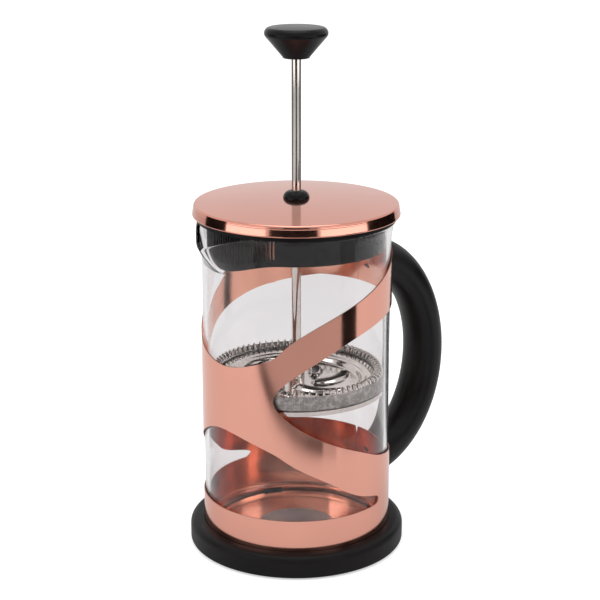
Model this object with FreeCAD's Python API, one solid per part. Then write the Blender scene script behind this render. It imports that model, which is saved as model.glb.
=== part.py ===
"""French press: glass beaker in a cut-out sheet sleeve, with lid and plunger.

Frame: +Z up, origin on the floor under the beaker's axis, handle towards +X, spout towards -X.
All lengths are in millimetres and all angles in degrees.
"""
import FreeCAD, Part
import math
import os

os.makedirs("parts", exist_ok=True)
Vec = FreeCAD.Vector
Vec2 = FreeCAD.Base.Vector2d
UP = Vec(0, 0, 1)
ORIGIN = Vec(0, 0, 0)
over = 1.0  # how far a cutting shape runs past the piece it cuts

# Beaker
glass_radius = 50.0
glass_wall = 2.2
glass_floor = 3.0
glass_height = 176.4
heel_radius = 10.0
rim_flare = 1.2
rim_straight = 3.0
spout_reach = 11.0
spout_drop = 7.0
spout_depth = 22.0
spout_dip_start = 5.0
spout_dip_middle = 3.9
spout_fall_angle = 12.0
spout_nose_angle = 5.0

# Base, its foot pad, the cushion under the beaker and the plate round it
base_overhang = 7.65
base_height = 13.0
base_shoulder = 4.6
base_toe = 1.5
foot_pad_inset = 4.6
foot_pad_height = 2.0
foot_pad_round = 0.6
foot_pad_gap = 0.05
foot_stand = 0.8
seat_depth = 9.4
seat_fit = 0.05
cushion_inset = 28.0
cushion_height = 1.2
seat_plate_sheet = 0.5
seat_plate_gap = 0.2
lug_count = 3
lug_height = 3.0
lug_wall = 1.6
lug_gap = 0.15
lug_sweep = 12.0
lug_start = 70.0

# Sleeve
sleeve_gap = 0.35
sleeve_sheet = 0.6
rim_show = 15.2
ring_height = 17.0
low_band_height = 38.0
high_band_height = 28.2
seam_angle = 9.5
seam_gap = 0.3
seam_notch_width = 2.2
seam_notch_depth = 5.0

# Handle and its fasteners
handle_reach = 38.2
handle_start = 6.0
handle_low_rise = 21.0
handle_high_drop = 13.1
handle_thick = 20.0
handle_width = 25.0
handle_root_thick = 23.0
handle_root_width = 20.0
handle_seat_gap = 0.05
screw_radius = 1.95
screw_length = 12.0
screw_head_radius = 3.2
screw_head_gap = 0.3
screw_socket = 1.1
screw_socket_depth = 1.0
insert_wall = 1.0
insert_length = 8.0
insert_inset = 2.0
pocket_room = 1.0
thread_gap = 0.04

# Lid
lid_sheet = 0.6
lid_overhang = 3.6
lid_flare = 1.3
lid_height = 6.2
lid_edge_round = 1.2
lid_crown = 2.2
crown_land = 9.0
lid_step = 0.45
lid_neck = 1.5
hem_radius = 0.55
lid_seat_gap = 0.1
lid_rise = 8.7
liner_plate = 2.0
liner_gap = 0.1
liner_side_gap = 0.3
liner_wall = 2.4
liner_fit = 0.5
liner_depth = 14.0
strainer_drop = 6.2
strainer_half_angle = 45.0
slot_half_angle = 40.0
slot_pitch = 2.35
slot_width = 0.9
slot_foot = 3.4
slot_head = 1.0

# Rod guide
guide_radius = 7.0
guide_height = 4.0
guide_stem_radius = 4.4
guide_stem_length = 14.7
guide_fit = 0.06
guide_nut_radius = 8.0
guide_nut_height = 3.4
guide_washer_radius = 7.6
guide_washer_height = 0.8
stem_gap = 0.08

# Plunger
rod_radius = 2.5
rod_chamfer = 0.4
rod_end = 0.6
rod_top_gap = 0.2
knob_radius = 16.5
knob_foot_radius = 7.2
knob_foot_chamfer = 0.8
knob_height = 15.8
knob_round = 3.0
knob_crown = 0.7
knob_tilt = 38.0
knob_insert_radius = 4.0
knob_insert_height = 9.0
knob_insert_end = 1.0
plunger_travel = 67.0
knob_clearance = 2.26
bottom_clearance = 10.0
filter_gap = 0.35
mesh_sheet = 0.35
mesh_height = 8.4
mesh_bend = 1.2
coil_radius = 2.3
coil_wire = 0.5
coil_mouth = 40.0
coil_gap = 0.1
coil_stand = 0.5
plate_sheet = 0.7
plate_lip_in = 3.3
plate_lip_out = 0.4
plate_dish_width = 8.0
plate_slot_count = 6
plate_slot_in = 11.0
plate_slot_out = 29.0
plate_slot_width = 6.0
plate_slot_end = 1.0
plate_slot_twist = 48.0
plate_slot_lead = 19.2
cross_sheet = 0.8
cross_gap = 0.5
cross_hole_count = 8
cross_hole_ring = 27.0
cross_hole_radius = 7.5
cross_rim = 1.6
hub_radius = 4.4
hub_height = 7.5
hub_chamfer = 0.8
lock_radius = 6.5
lock_height = 0.8
nut_radius = 4.6
nut_height = 2.6

# Levels that follow from the sizes above
seat_z = base_height - seat_depth
glass_foot_z = seat_z + cushion_height
rim_z = glass_foot_z + glass_height
spout_foot_z = rim_z - spout_depth
sleeve_top_z = rim_z - rim_show
sleeve_inner = glass_radius + sleeve_gap
sleeve_outer = sleeve_inner + sleeve_sheet
base_radius = sleeve_outer + base_overhang
foot_pad_radius = base_radius - foot_pad_inset
cushion_radius = glass_radius - cushion_inset
ring_top_z = base_height + ring_height
low_band_z = base_height + low_band_height
high_band_z = sleeve_top_z - high_band_height
handle_low_z = base_height + handle_low_rise
handle_high_z = sleeve_top_z - handle_high_drop
screw_face_x = glass_radius + screw_head_gap
lid_radius = glass_radius + lid_overhang
lid_seat_z = rim_z + lid_seat_gap
lid_top_z = lid_seat_z + lid_rise
liner_plate_z = lid_top_z - lid_sheet - liner_gap
crown_radius = lid_radius - lid_edge_round
crown_bend = (crown_radius ** 2 + lid_crown ** 2) / (2 * lid_crown)
land_rise = math.sqrt(crown_bend ** 2 - crown_land ** 2) - crown_bend + lid_crown
guide_foot_z = lid_top_z + land_rise
guide_top_z = guide_foot_z + guide_height
washer_top_z = liner_plate_z - liner_plate + land_rise
guide_hole = guide_stem_radius + stem_gap
knob_foot_z = guide_top_z + knob_clearance + plunger_travel
cavity_floor_z = glass_foot_z + glass_floor
rod_foot_z = cavity_floor_z + bottom_clearance + plunger_travel
plate_low_z = rod_foot_z + rod_end + nut_height + lock_height
mesh_outer = glass_radius - glass_wall - filter_gap
cross_top_z = plate_low_z + cross_sheet
mesh_top_z = cross_top_z + mesh_height
coil_ring_radius = mesh_outer - mesh_sheet - coil_radius - coil_gap
coil_z = mesh_top_z - coil_radius + coil_stand


def revolve(profile, start=0.0, sweep=360.0):
    """A solid of revolution about Z from edges or points in the (radius, height) plane."""
    if isinstance(profile[0], tuple):
        corners = [Vec(r, 0, z) for r, z in profile]
        profile = Part.makePolygon(corners + corners[:1]).Edges
    face = Part.Face(Part.Wire(Part.__sortEdges__(profile)))
    face.rotate(ORIGIN, UP, start)
    return face.revolve(ORIGIN, UP, sweep)


def line(p, q):
    """A straight edge between two (radius, height) points."""
    return Part.makeLine(Vec(p[0], 0, p[1]), Vec(q[0], 0, q[1]))


def arc(centre, radius, start, end):
    """A round edge in the (radius, height) plane, from one angle to another."""
    middle = (start + end) / 2
    points = []
    for angle in (start, middle, end):
        a = math.radians(angle)
        points.append(Vec(centre[0] + radius * math.cos(a), 0, centre[1] + radius * math.sin(a)))
    return Part.Arc(*points).toShape()


def tube(inner, outer, low, high):
    """A round tube about Z."""
    return revolve([(inner, low), (outer, low), (outer, high), (inner, high)])


def cylinder(radius, low, high):
    """A round bar about Z."""
    return Part.makeCylinder(radius, high - low, Vec(0, 0, low))


def hexagon(across, low, high):
    """A hexagonal prism about Z, given half its width across the corners."""
    corners = []
    for i in range(7):
        a = math.radians(60 * i)
        corners.append(Vec(across * math.cos(a), across * math.sin(a), low))
    return Part.Face(Part.makePolygon(corners)).extrude(Vec(0, 0, high - low))


def turned(shape, angle):
    """A copy of a shape turned about Z."""
    copy = shape.copy()
    copy.rotate(ORIGIN, UP, angle)
    return copy


def level_edges(shape, z):
    """The edges of a shape that lie level at a height."""
    return [edge for edge in shape.Edges
            if abs(edge.BoundBox.ZMin - z) < 0.01 and abs(edge.BoundBox.ZMax - z) < 0.01]


def save(name, shape):
    """Write one sub-part and print what it holds."""
    shape.exportStep("parts/%s.step" % name)
    print("%-18s solids %d  volume %10.1f  valid %s"
          % (name, len(shape.Solids), shape.Volume, shape.isValid()))


# ---------------------------------------------------------------- base

def base():
    """The moulded base: a dish with a round shoulder, in which the sleeve and its lugs stand."""
    seat_radius = sleeve_outer + seat_fit
    shoulder = (base_radius - base_shoulder, base_height - base_shoulder)
    toe = (base_radius - base_toe, foot_stand + base_toe)
    profile = [
        line((0, foot_stand), (0, seat_z)),
        line((0, seat_z), (seat_radius, seat_z)),
        line((seat_radius, seat_z), (seat_radius, base_height)),
        line((seat_radius, base_height), (shoulder[0], base_height)),
        arc(shoulder, base_shoulder, 90, 0),
        line((base_radius, shoulder[1]), (base_radius, toe[1])),
        arc(toe, base_toe, 0, -90),
        line((toe[0], foot_stand), (0, foot_stand)),
    ]
    body = revolve(profile).cut(cylinder(foot_pad_radius + foot_pad_gap, 0, foot_pad_height))
    lug_outer = sleeve_inner - lug_gap
    lug_face = [(lug_outer - lug_wall, seat_z), (lug_outer, seat_z),
                (lug_outer, seat_z + lug_height), (lug_outer - lug_wall, seat_z + lug_height)]
    lugs = []
    for i in range(lug_count):
        start = lug_start - lug_sweep / 2 + 360.0 / lug_count * i
        lugs.append(revolve(lug_face, start, lug_sweep))
    return body.fuse(lugs).removeSplitter()


def foot_pad():
    """The non-slip pad let into the underside, which stands on the table."""
    pad = cylinder(foot_pad_radius, 0, foot_pad_height)
    return pad.makeFillet(foot_pad_round, level_edges(pad, 0))


def cushion():
    """The soft disc on which the beaker stands."""
    return cylinder(cushion_radius, seat_z, seat_z + cushion_height)


def seat_plate():
    """The polished plate round the cushion, which lines the base inside the sleeve."""
    edge = sleeve_inner - lug_gap - lug_wall - seat_plate_gap
    return tube(cushion_radius + seat_plate_gap, edge, seat_z, seat_z + seat_plate_sheet)


# ---------------------------------------------------------------- sleeve

def pattern_height(share):
    """The height of a point of the cut-out pattern, as a share of the sheet above its bottom ring."""
    return ring_top_z + share * (sleeve_top_z - ring_top_z)


def spread(pairs):
    """Points of the unrolled sheet from pairs of angle and share of the pattern's height."""
    return [(angle, pattern_height(share)) for angle, share in pairs]


def top_edge():
    """The sheet's wavy top, from behind the handle round the spout side to the front."""
    low = spread([(82, 0.932), (104, 0.84), (126, 0.75), (147, 0.67), (166, 0.614), (186, 0.594),
                  (206, 0.617), (226, 0.688), (250, 0.79), (278, 0.868), (308, 0.945)])
    return [(62, sleeve_top_z)] + low + [(332, sleeve_top_z)]


def right_notch():
    """The large window's half in front of the seam, from its top edge round to its bottom edge."""
    middle = spread([(306, 0.768), (280, 0.736), (256, 0.675), (233, 0.585), (220.5, 0.49),
                     (233, 0.388), (256, 0.303), (282, 0.232), (310, 0.18)])
    return [(340, high_band_z)] + middle + [(340, low_band_z)]


def left_notch():
    """The large window's half behind the seam, from its bottom edge round to its top edge."""
    middle = spread([(76, 0.17), (98, 0.225), (118, 0.315), (134, 0.412), (141.5, 0.51), (130, 0.61),
                     (106, 0.688), (72, 0.752)])
    return [(52, low_band_z)] + middle + [(38, high_band_z)]


def lower_window():
    """The small window, from its blunt tip at the back round the spout side to its front tip."""
    back = spread([(88.5, 0.006), (86.5, 0.018), (89, 0.03)])
    front = spread([(292, 0.034), (293.6, 0.018), (292, 0.004)])
    return back, spread([(98, 0.045), (120, 0.112), (142, 0.208), (164, 0.296), (186, 0.334),
                         (208, 0.304), (230, 0.234), (258, 0.132), (284, 0.05)]), front


class Sheet:
    """Edges of the unrolled sheet, laid on the sleeve's outer cylinder from seam to seam."""

    def __init__(self):
        self.surface = Part.Cylinder()
        self.surface.Radius = sleeve_outer
        self.surface.transform(FreeCAD.Rotation(UP, seam_angle).toMatrix())

    def place(self, point):
        return Vec2(math.radians(point[0] - seam_angle), point[1])

    def straight(self, p, q):
        return Part.Geom2d.Line2dSegment(self.place(p), self.place(q)).toShape(self.surface)

    def curve(self, points):
        spline = Part.Geom2d.BSplineCurve2d()
        spline.interpolate([self.place(p) for p in points])
        return spline.toShape(self.surface)

    def blank(self):
        """The uncut sheet as one face."""
        edge = seam_gap / 2 / sleeve_outer
        return self.surface.toShape(edge, 2 * math.pi - edge, seat_z, sleeve_top_z)


def sheet_outline(sheet):
    """The closed outer boundary of the sheet, anticlockwise seen from outside."""
    degree = math.degrees(1 / sleeve_outer)
    left = seam_angle + seam_gap / 2 * degree
    right = seam_angle + 360 - seam_gap / 2 * degree
    notch = seam_notch_width / 2 * degree
    notch_z = low_band_z - seam_notch_depth
    front, back, top = right_notch(), left_notch(), top_edge()
    corners = [(left, seat_z), (right, seat_z), (right, notch_z),
               (right - notch, low_band_z), front[-1]]
    edges = [sheet.straight(p, q) for p, q in zip(corners, corners[1:])]
    edges.append(sheet.curve(front[::-1]))
    corners = [front[0], (right, high_band_z), (right, sleeve_top_z), top[-1]]
    edges += [sheet.straight(p, q) for p, q in zip(corners, corners[1:])]
    edges.append(sheet.curve(top[::-1]))
    corners = [top[0], (left, sleeve_top_z), (left, high_band_z), back[-1]]
    edges += [sheet.straight(p, q) for p, q in zip(corners, corners[1:])]
    edges.append(sheet.curve(back[::-1]))
    corners = [back[0], (left + notch, low_band_z), (left, notch_z), (left, seat_z)]
    edges += [sheet.straight(p, q) for p, q in zip(corners, corners[1:])]
    return edges


def window_outline(sheet):
    """The closed boundary of the small window above the bottom ring."""
    back, top, front = lower_window()
    foot = [(front[-1][0] - 1.5, ring_top_z), (back[0][0] + 1.5, ring_top_z)]
    return [sheet.curve(foot[1:] + back + top + front + foot[:1]), sheet.straight(*foot)]


def sleeve():
    """The rolled sheet: the blank is split along its cuts, and the part with the web is thickened."""
    sheet = Sheet()
    cuts = sheet_outline(sheet) + [Part.Wire(window_outline(sheet))]
    pieces = sheet.blank().generalFuse(cuts, 1e-4)[0]
    web = Part.Vertex(Vec(-sleeve_outer, 0, (high_band_z + low_band_z) / 2))
    face = min(pieces.Faces, key=lambda piece: piece.distToShape(web)[0])
    body = face.makeOffsetShape(-sleeve_sheet, 1e-4, fill=True)
    return body.cut([screw_cone(z, thread_gap) for z in (handle_low_z, handle_high_z)])


# ---------------------------------------------------------------- handle

def handle_centre(angle):
    """A point of the handle's centre line and the direction along it."""
    a = math.radians(angle)
    middle = (handle_low_z + handle_high_z) / 2
    rise = (handle_high_z - handle_low_z) / 2
    point = Vec(sleeve_outer - handle_start + (handle_start + handle_reach) * math.cos(a), 0,
                middle + rise * math.sin(a))
    along = Vec(-(handle_start + handle_reach) * math.sin(a), 0, rise * math.cos(a))
    return point, along.normalize()


def handle_section(angle):
    """The oval section of the handle, wider across and flatter in the middle of the grip."""
    point, along = handle_centre(angle)
    root = abs(math.sin(math.radians(angle))) ** 3
    thick = handle_thick + (handle_root_thick - handle_thick) * root
    width = handle_width + (handle_root_width - handle_width) * root
    outward = Vec(0, 1, 0).cross(along)
    count = 24
    points = []
    for i in range(count):
        a = 2 * math.pi * i / count
        points.append(point + outward * (thick / 2 * math.cos(a)) + Vec(0, width / 2 * math.sin(a), 0))
    ring = Part.BSplineCurve()
    ring.interpolate(points, PeriodicFlag=True)
    return Part.Wire(ring.toShape())


def handle():
    """The C-shaped grip, cut to the sleeve's curve, with a pocket at each root for an insert."""
    sections = [handle_section(-90 + 15 * i) for i in range(13)]
    body = Part.makeLoft(sections, True, False)
    body = body.cut(cylinder(sleeve_outer + handle_seat_gap, 0, rim_z))
    pockets = []
    end = max(screw_face_x + screw_length, sleeve_outer + insert_inset + insert_length) + pocket_room
    for z in (handle_low_z, handle_high_z):
        pockets.append(bar_x(insert_radius(), sleeve_outer + insert_inset, end, z))
        pockets.append(bar_x(screw_radius + thread_gap, sleeve_inner, sleeve_outer + insert_inset, z))
        pockets.append(screw_cone(z, thread_gap))
    return body.cut(pockets)


def insert_radius():
    """The outer radius of a threaded insert of the handle."""
    return screw_radius + thread_gap + insert_wall


def bar_x(radius, start, end, z):
    """A round bar along X at a given height."""
    return Part.makeCylinder(radius, end - start, Vec(start, 0, z), Vec(1, 0, 0))


def screw_cone(z, gap):
    """The conical head of a handle screw, grown by a gap."""
    depth = screw_head_radius - screw_radius
    return Part.makeCone(screw_head_radius + gap, screw_radius + gap, depth,
                         Vec(screw_face_x, 0, z), Vec(1, 0, 0))


def handle_screw(z):
    """A countersunk screw from inside the sleeve into the handle, with a hexagonal socket."""
    shank = bar_x(screw_radius, screw_face_x + screw_head_radius - screw_radius,
                  screw_face_x + screw_length, z)
    socket = hexagon(screw_socket, 0, screw_socket_depth)
    socket.rotate(ORIGIN, Vec(0, 1, 0), 90)
    socket.translate(Vec(screw_face_x, 0, z))
    return screw_cone(z, 0).fuse(shank).removeSplitter().cut(socket)


def handle_insert(z):
    """A threaded insert in a root of the handle."""
    start = sleeve_outer + insert_inset
    return bar_x(insert_radius(), start, start + insert_length, z).cut(
        bar_x(screw_radius + thread_gap, start - over, start + insert_length + over, z))


# ---------------------------------------------------------------- beaker

def spout_share(angle):
    """How far the spout has grown at an angle from its middle, from 0 to 1."""
    distance = math.hypot(angle, spout_nose_angle) - spout_nose_angle
    return math.exp(-distance / spout_fall_angle)


def glass_ring(radius, z):
    """A level curve of the glass wall, drawn out at the spout."""
    rise = min(1.0, (z - spout_foot_z) / (rim_z - rim_straight - spout_foot_z))
    reach = spout_reach * math.sin(math.pi / 2 * rise)
    radius += rim_flare * rise ** 3
    points = []
    for i in range(72):
        angle = 5 * i
        off = min(angle, 360 - angle)
        r = radius + reach * spout_share(off)
        a = math.radians(180 + angle)
        points.append(Vec(r * math.cos(a), r * math.sin(a), z))
    ring = Part.BSplineCurve()
    ring.interpolate(points, PeriodicFlag=True)
    return Part.Wire(ring.toShape())


def glass_throat(radius):
    """A solid column with the spout's bulge, from the spout's foot to the rim."""
    levels = [spout_foot_z + spout_depth * i / 6 for i in range(7)]
    return Part.makeLoft([glass_ring(radius, z) for z in levels], True, False)


def glass_cup():
    """The round part of the beaker, from its floor to the spout's foot."""
    outer, inner = glass_radius, glass_radius - glass_wall
    outer_heel, inner_heel = heel_radius, heel_radius - glass_wall
    profile = [
        line((0, glass_foot_z), (outer - outer_heel, glass_foot_z)),
        arc((outer - outer_heel, glass_foot_z + outer_heel), outer_heel, -90, 0),
        line((outer, glass_foot_z + outer_heel), (outer, spout_foot_z)),
        line((outer, spout_foot_z), (inner, spout_foot_z)),
        line((inner, spout_foot_z), (inner, cavity_floor_z + inner_heel)),
        arc((inner - inner_heel, cavity_floor_z + inner_heel), inner_heel, 0, -90),
        line((inner - inner_heel, cavity_floor_z), (0, cavity_floor_z)),
        line((0, cavity_floor_z), (0, glass_foot_z)),
    ]
    return revolve(profile)


def beaker():
    """The glass beaker with its pouring lip."""
    throat = glass_throat(glass_radius).cut(glass_throat(glass_radius - glass_wall))
    shell = glass_cup().fuse([throat], 1e-3)
    tip = glass_radius + rim_flare + spout_reach
    start = (-glass_radius + spout_dip_start, rim_z)
    slope = (-(glass_radius + tip) / 2, rim_z - spout_dip_middle)
    end = (-tip - over, rim_z - spout_drop - over)
    high = rim_z + 2 * over
    dip = Part.Wire([
        Part.Arc(*[Vec(x, 0, z) for x, z in (start, slope, end)]).toShape(),
        line(end, (end[0], high)),
        line((end[0], high), (start[0], high)),
        line((start[0], high), start),
    ])
    cutter = Part.Face(dip).extrude(Vec(0, 2 * glass_radius, 0))
    cutter.translate(Vec(0, -glass_radius, 0))
    return shell.cut(cutter)


# ---------------------------------------------------------------- lid

def crown_rise(radius):
    """How far the lid's crown stands above its edge at a radius."""
    return math.sqrt(crown_bend ** 2 - radius ** 2) - crown_bend + lid_crown


def crown_face(reach, level):
    """The edges of a crowned face: its flat middle round the hole, then an arc to a radius."""
    rise = [Vec(radius, 0, level + crown_rise(radius))
            for radius in (crown_land, (crown_land + reach) / 2, reach)]
    land_z = level + land_rise
    return [line((guide_hole, land_z), (crown_land, land_z)), Part.Arc(*rise).toShape()]


def lid_cover():
    """The polished cover: a low crown with a flared skirt that ends in a rolled hem."""
    top = lid_top_z
    foot = top - lid_height
    outer = lid_radius + lid_flare
    r = lid_edge_round
    t = lid_sheet
    step = (lid_radius + lid_step, top - r - lid_neck)
    hem = (outer - hem_radius, foot + hem_radius)
    profile = crown_face(crown_radius, top) + [
        arc((crown_radius, top - r), r, 90, 0),
        line((lid_radius, top - r), step),
        line(step, (outer, hem[1])),
        arc(hem, hem_radius, 0, -180),
        line((outer - 2 * hem_radius, hem[1]), (lid_radius - t, step[1])),
        line((lid_radius - t, step[1]), (lid_radius - t, top - r)),
        arc((crown_radius, top - r), r - t, 0, 90),
        line((guide_hole, top - t + land_rise), (guide_hole, top + land_rise)),
    ] + crown_face(crown_radius, top - t)
    return revolve(profile)


def strainer_edge_z(angle):
    """The height of the liner's lower edge at an angle from the spout's middle."""
    foot = rim_z - liner_depth
    if abs(angle) >= strainer_half_angle:
        return foot
    return foot - strainer_drop * (1 + math.cos(math.pi * angle / strainer_half_angle)) / 2


def lid_liner():
    """The moulded liner: a crowned plate, a flange on the rim and a skirt with a comb at the spout."""
    plate_low = liner_plate_z - liner_plate
    flange = lid_radius - lid_sheet - liner_side_gap
    outer = glass_radius - glass_wall - liner_fit
    inner = outer - liner_wall
    foot = rim_z - liner_depth
    low = foot - strainer_drop
    corner = lid_edge_round
    bend_z = liner_plate_z + crown_rise(flange - corner) - corner
    profile = crown_face(flange - corner, liner_plate_z) + [
        arc((flange - corner, bend_z), corner, 90, 0),
        line((flange, bend_z), (flange, lid_seat_z)),
        line((flange, lid_seat_z), (outer, lid_seat_z)),
        line((outer, lid_seat_z), (outer, low)),
        line((outer, low), (inner, low)),
        line((inner, low), (inner, plate_low + crown_rise(inner))),
        line((guide_hole, plate_low + land_rise), (guide_hole, liner_plate_z + land_rise)),
    ] + crown_face(inner, plate_low)
    body = revolve(profile)
    points = []
    for i in range(19):
        angle = strainer_half_angle * (i - 9) / 9
        points.append(Vec(0, outer * math.sin(math.radians(angle)), strainer_edge_z(angle)))
    edge = Part.BSplineCurve()
    edge.interpolate(points)
    side = outer + over
    corners = [points[-1], Vec(0, side, foot), Vec(0, side, low - over), Vec(0, -side, low - over),
               Vec(0, -side, foot), points[0]]
    below = Part.Face(Part.Wire([edge.toShape()] + Part.makePolygon(corners).Edges))
    front_cut = below.extrude(Vec(-side, 0, 0))
    back_cut = Part.makeBox(side, 2 * side, foot - low + over, Vec(0, -side, low - over))
    body = body.cut([front_cut, back_cut])
    slots = []
    count = int(slot_half_angle / slot_pitch)
    for i in range(-count, count + 1):
        angle = i * slot_pitch
        z = strainer_edge_z(angle) + slot_foot
        slot = Part.makeBox(liner_wall + 2 * over, slot_width, lid_seat_z - slot_head - z,
                            Vec(inner - over, -slot_width / 2, z))
        slots.append(turned(slot, 180 + angle))
    return body.cut(slots)


def rod_guide():
    """The round guide on the lid: a low dome with a threaded stem through the lid."""
    low = guide_foot_z
    flat_radius = guide_radius - guide_height
    bore = rod_radius + guide_fit
    stem_foot = low - guide_stem_length
    profile = [
        arc((flat_radius, low), guide_height, 0, 90),
        line((flat_radius, guide_top_z), (bore, guide_top_z)),
        line((bore, guide_top_z), (bore, stem_foot)),
        line((bore, stem_foot), (guide_stem_radius, stem_foot)),
        line((guide_stem_radius, stem_foot), (guide_stem_radius, low)),
        line((guide_stem_radius, low), (guide_radius, low)),
    ]
    return revolve(profile)


def guide_washer():
    """The washer under the liner's plate."""
    return tube(guide_hole, guide_washer_radius, washer_top_z - guide_washer_height, washer_top_z)


def guide_nut():
    """The nut that holds the rod guide in the lid."""
    top = washer_top_z - guide_washer_height
    low = top - guide_nut_height
    thread = cylinder(guide_stem_radius + thread_gap, low - over, top + over)
    return hexagon(guide_nut_radius, low, top).cut(thread)


# ---------------------------------------------------------------- plunger

def knob():
    """The turned knob: a cone widening upwards to a round rim and a slightly raised top."""
    low = knob_foot_z
    top = low + knob_height
    rim = (knob_radius - knob_round, top - knob_round)
    a = math.radians(-knob_tilt)
    flank = (rim[0] + knob_round * math.cos(a), rim[1] + knob_round * math.sin(a))
    dome = (rim[0] ** 2 + knob_crown ** 2) / (2 * knob_crown)
    edge = math.degrees(math.acos(rim[0] / dome))
    socket = knob_insert_radius
    depth = low + knob_insert_height
    chamfer = knob_foot_chamfer
    profile = [
        arc((0, top + knob_crown - dome), dome, edge, 90),
        line((0, top + knob_crown), (0, depth)),
        line((0, depth), (socket, depth)),
        line((socket, depth), (socket, low)),
        line((socket, low), (knob_foot_radius - chamfer, low)),
        line((knob_foot_radius - chamfer, low), (knob_foot_radius, low + chamfer)),
        line((knob_foot_radius, low + chamfer), flank),
        arc(rim, knob_round, -knob_tilt, 90),
    ]
    return revolve(profile)


def knob_insert():
    """The threaded insert in the knob, which takes the end of the rod."""
    low = knob_foot_z
    body = cylinder(knob_insert_radius, low, low + knob_insert_height)
    end = low + knob_insert_height - knob_insert_end
    return body.cut(cylinder(rod_radius + thread_gap, low - over, end))


def plunger_rod():
    """The steel rod from the knob down through the filter."""
    top = knob_foot_z + knob_insert_height - knob_insert_end - rod_top_gap
    rod = cylinder(rod_radius, rod_foot_z, top)
    return rod.makeChamfer(rod_chamfer, level_edges(rod, rod_foot_z))


def hub_collar():
    """The collar on the rod that presses on the spiral plate."""
    low = cross_top_z + mesh_sheet + plate_sheet
    top = low + hub_height
    body = cylinder(hub_radius, low, top)
    body = body.makeChamfer(hub_chamfer, level_edges(body, top))
    return body.cut(cylinder(rod_radius + thread_gap, low - over, top + over))


def spiral_plate():
    """The sprung plate: a dished disc with curved slots, its lip inside the edge spring."""
    low = cross_top_z + mesh_sheet
    t = plate_sheet
    lip_in = coil_ring_radius - plate_lip_in
    lip_out = coil_ring_radius - plate_lip_out
    flat = lip_in - plate_dish_width
    high = coil_z - t / 2
    hole = rod_radius + thread_gap
    body = revolve([
        (hole, low), (flat, low), (lip_in, high), (lip_out, high), (lip_out, high + t),
        (lip_in - t / 2, high + t), (flat - t / 2, low + t), (hole, low + t)])
    slots = [turned(spiral_slot(low - over, low + t + over), 360.0 / plate_slot_count * i)
             for i in range(plate_slot_count)]
    return body.cut(slots)


def spiral_slot(low, high):
    """One curved slot of the spiral plate, narrow inside and wide outside."""
    def at(radius, angle):
        a = math.radians(angle)
        return Vec(radius * math.cos(a), radius * math.sin(a), low)
    middle = (plate_slot_in + plate_slot_out) / 2
    wide = math.degrees(plate_slot_width / plate_slot_out)
    slim = math.degrees(plate_slot_width / 2 / plate_slot_in)
    twist, lead, end = plate_slot_twist, plate_slot_lead, plate_slot_end
    inner = [at(plate_slot_in, -slim / 2), at(plate_slot_in - end, 0), at(plate_slot_in, slim / 2)]
    outer = [at(plate_slot_out, twist + wide / 2), at(plate_slot_out + end, twist),
             at(plate_slot_out, twist - wide / 2)]
    edges = [
        Part.Arc(*inner).toShape(),
        Part.Arc(inner[2], at(middle, lead + wide / 2), outer[0]).toShape(),
        Part.Arc(*outer).toShape(),
        Part.Arc(outer[2], at(middle, lead - wide / 2), inner[0]).toShape(),
    ]
    return Part.Face(Part.Wire(edges)).extrude(Vec(0, 0, high - low))


def edge_spring():
    """The outer shape of the coil round the plate's lip: a hollow ring, open towards the middle."""
    centre = (coil_ring_radius, coil_z)
    inner = coil_radius - coil_wire
    mouth = coil_mouth / 2
    a = math.radians(180 - mouth)
    b = math.radians(180 + mouth)
    def at(radius, angle):
        return (centre[0] + radius * math.cos(angle), centre[1] + radius * math.sin(angle))
    profile = [
        arc(centre, coil_radius, 180 - mouth, -180 + mouth),
        line(at(coil_radius, b), at(inner, b)),
        arc(centre, inner, -180 + mouth, 180 - mouth),
        line(at(inner, a), at(coil_radius, a)),
    ]
    return revolve(profile)


def mesh_filter():
    """The woven filter: a shallow cup whose rim wipes the glass."""
    low = cross_top_z
    t = mesh_sheet
    hole = rod_radius + thread_gap
    r = mesh_bend
    bend = (mesh_outer - r, low + r)
    profile = [
        line((hole, low), (bend[0], low)),
        arc(bend, r, -90, 0),
        line((mesh_outer, bend[1]), (mesh_outer, mesh_top_z)),
        line((mesh_outer, mesh_top_z), (mesh_outer - t, mesh_top_z)),
        line((mesh_outer - t, mesh_top_z), (mesh_outer - t, bend[1])),
        arc(bend, r - t, 0, -90),
        line((bend[0], low + t), (hole, low + t)),
        line((hole, low + t), (hole, low)),
    ]
    return revolve(profile)


def cross_plate():
    """The flat plate under the mesh, with a ring of round holes and a turned-down rim."""
    edge = mesh_outer - cross_gap
    body = tube(rod_radius + thread_gap, edge, plate_low_z, cross_top_z)
    rim = tube(edge - cross_sheet, edge, plate_low_z - cross_rim, plate_low_z)
    holes = []
    for i in range(cross_hole_count):
        a = 2 * math.pi * i / cross_hole_count
        spot = Vec(cross_hole_ring * math.cos(a), cross_hole_ring * math.sin(a), plate_low_z - over)
        holes.append(Part.makeCylinder(cross_hole_radius, cross_sheet + 2 * over, spot))
    return body.fuse(rim).removeSplitter().cut(holes)


def lock_washer():
    """The washer between the cross plate and its nut."""
    return tube(rod_radius + thread_gap, lock_radius, plate_low_z - lock_height, plate_low_z)


def hub_nut():
    """The nut under the filter."""
    top = plate_low_z - lock_height
    low = top - nut_height
    return hexagon(nut_radius, low, top).cut(cylinder(rod_radius + thread_gap, low - over, top + over))


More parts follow.
